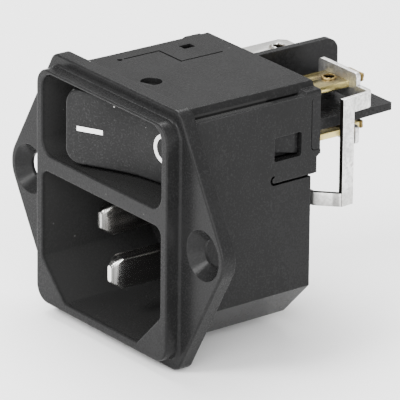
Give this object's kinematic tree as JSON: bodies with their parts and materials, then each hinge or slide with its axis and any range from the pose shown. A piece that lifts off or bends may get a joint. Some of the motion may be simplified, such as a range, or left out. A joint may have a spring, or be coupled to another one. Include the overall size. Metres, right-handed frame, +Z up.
{
  "type": "c14 panel inlet socket",
  "caption": "Screw-mounted power inlet with a rocker switch above the pin cavity, in a black moulded body with rear tabs and folded metal links.",
  "frame": {"origin": "centre of the line between the screw holes, at the back face of the flange", "axes": "+X from one screw hole to the other, to the right when the rocker is seen from the front; +Y into the panel, towards the rear tabs; +Z up, towards the rocker"},
  "size_m": [0.044, 0.0364, 0.0334],
  "materials": {
    "black_moulding": "satin, lightly textured",
    "rocker_moulding": "satin, lightly textured",
    "inner_moulding": "satin",
    "white_mark": "matte",
    "tinned_brass": "tinned, satin",
    "brass_strip": "satin",
    "silver_contact": "polished",
    "spring_steel": "bright"
  },
  "bodies": {
    "base": {"housing": "black_moulding", "rear_cover": "black_moulding", "pin_retainer": "black_moulding", "upper_fixed_contact": "silver_contact", "lower_fixed_contact": "silver_contact", "upper_input_tab": "brass_strip", "lower_input_tab": "brass_strip", "upper_output_tab": "tinned_brass", "lower_output_tab": "tinned_brass", "line_pin": "tinned_brass", "neutral_pin": "tinned_brass", "earth_pin": "tinned_brass", "line_link": "tinned_brass", "neutral_link": "tinned_brass"},
    "rocker_body": {"rocker": "rocker_moulding", "mark_on": "white_mark", "mark_off": "white_mark", "upper_plunger": "inner_moulding", "lower_plunger": "inner_moulding", "upper_spring": "spring_steel", "lower_spring": "spring_steel"},
    "upper_lever_body": {"upper_lever": "brass_strip", "upper_moving_contact": "silver_contact"},
    "lower_lever_body": {"lower_lever": "brass_strip", "lower_moving_contact": "silver_contact"}
  },
  "joints": [
    {"name": "rocker_tilt", "type": "hinge", "parent": "base", "child": "rocker_body", "pos_m": [0, 0.0035, 0.00957], "axis": [0, 0, 1], "range_deg": [-37.2, 0]},
    {"name": "upper_lever_tilt", "type": "hinge", "parent": "base", "child": "upper_lever_body", "pos_m": [0, 0.0096, 0.0113], "axis": [0, 0, 1], "range_deg": [0, 12]},
    {"name": "lower_lever_tilt", "type": "hinge", "parent": "base", "child": "lower_lever_body", "pos_m": [0, 0.0096, 0.0086], "axis": [0, 0, 1], "range_deg": [0, 12]}
  ],
  "couplings": [
    {"joint": "upper_lever_tilt", "follows": "rocker_tilt", "ratio": -0.32},
    {"joint": "lower_lever_tilt", "follows": "rocker_tilt", "ratio": -0.32}
  ]
}
